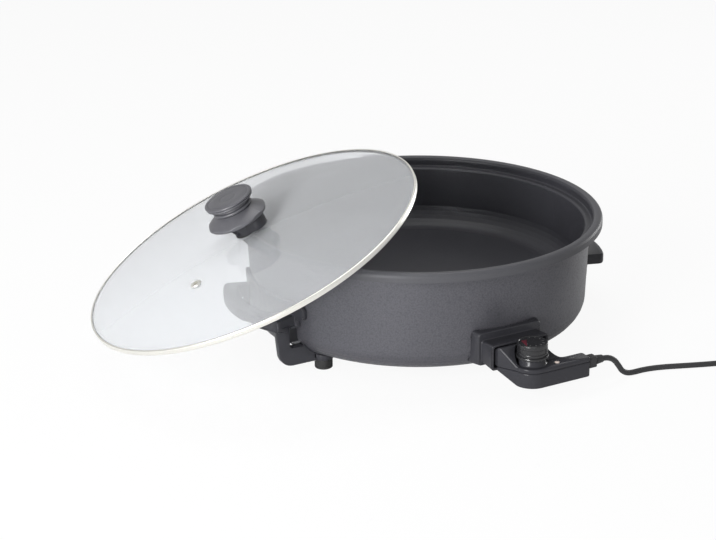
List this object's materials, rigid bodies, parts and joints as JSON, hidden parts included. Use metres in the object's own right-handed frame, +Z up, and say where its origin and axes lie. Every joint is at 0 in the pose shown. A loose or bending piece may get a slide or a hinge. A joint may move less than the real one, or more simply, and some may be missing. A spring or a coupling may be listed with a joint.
{
  "type": "electric skillet",
  "caption": "Round double-walled electric skillet with side handles that carry its feet, a plug-in probe thermostat on a cord, and a loose domed glass lid leaning on the rim.",
  "frame": {"origin": "on the pan's axis at table level, in the plane of the four foot pads' undersides", "axes": "+Z up along the pan's axis, +X towards the right handle, -Y towards the plug-in controller"},
  "size_m": [0.75, 0.5131, 0.2078],
  "materials": {
    "shell_paint": "satin hammertone paint on aluminium sheet",
    "pan_coating": "semi-gloss non-stick coating on aluminium",
    "plate_metal": "as cast and machined",
    "element_sheath": "matte annealed sheath",
    "pin_metal": "satin",
    "seal_ceramic": null,
    "contact_brass": "satin",
    "phenolic": "low-sheen moulded phenolic",
    "foot_rubber": "matte",
    "screw_steel": "zinc plated",
    "lid_glass": "clear polished",
    "lid_band": "polished stainless",
    "case_plastic": "fine moulded grain",
    "lens_plastic": "translucent",
    "pointer_red": "satin",
    "cam_nylon": "natural nylon",
    "cord_rubber": "matte sheath",
    "tie_plastic": "matte"
  },
  "bodies": {
    "pan": {"outer_shell": "shell_paint", "inner_pan": "pan_coating", "heater_plate": "plate_metal", "heating_element": "element_sheath", "terminal_pin_1": "pin_metal", "terminal_pin_2": "pin_metal", "element_seal_1": "seal_ceramic", "element_seal_2": "seal_ceramic", "probe_guide_tube": "plate_metal", "earth_strip": "contact_brass", "socket_bracket": "phenolic", "bracket_screw_1": "screw_steel", "bracket_screw_2": "screw_steel", "handle_left": "phenolic", "handle_right": "phenolic", "handle_screw_1": "screw_steel", "handle_screw_2": "screw_steel", "handle_screw_3": "screw_steel", "handle_screw_4": "screw_steel", "base_foot_1": "phenolic", "base_foot_2": "phenolic", "foot_pad_1": "foot_rubber", "foot_pad_2": "foot_rubber", "foot_pad_3": "foot_rubber", "foot_pad_4": "foot_rubber", "pan_stud_1": "screw_steel", "pan_stud_2": "screw_steel", "pan_stud_3": "screw_steel", "pan_nut_1": "screw_steel", "pan_nut_2": "screw_steel", "pan_nut_3": "screw_steel"},
    "lid": {"lid_glass": "lid_glass", "lid_rim": "lid_band", "vent_grommet": "lid_band", "knob_gasket": "foot_rubber", "knob_pedestal": "phenolic", "knob_guard": "phenolic", "knob_collar": "phenolic", "knob_cap": "phenolic", "knob_washer": "screw_steel", "knob_screw": "screw_steel"},
    "controller": {"controller_lower_case": "case_plastic", "controller_upper_case": "case_plastic", "contact_block": "phenolic", "receptacle_1": "contact_brass", "receptacle_2": "contact_brass", "probe_rod": "pin_metal", "neon_lens": "lens_plastic", "strain_relief": "cord_rubber", "cord": "cord_rubber", "cord_coil": "cord_rubber", "cord_tie": "tie_plastic", "plug_body": "cord_rubber", "plug_pins": "contact_brass"},
    "dial": {"dial": "case_plastic", "dial_pointer": "pointer_red", "dial_shaft": "screw_steel", "thermostat_cam": "cam_nylon"}
  },
  "joints": [
    {"name": "lid_lift", "type": "slide", "parent": "pan", "child": "lid", "axis": [0, 0, 1], "range_m": [0, 0.2]},
    {"name": "controller_unplug", "type": "slide", "parent": "pan", "child": "controller", "axis": [0, -1, 0], "range_m": [0, 0.09]},
    {"name": "dial_turn", "type": "hinge", "parent": "controller", "child": "dial", "pos_m": [0, -0.24, 0.05], "axis": [0, 0, -1], "range_deg": [0, 270]}
  ]
}
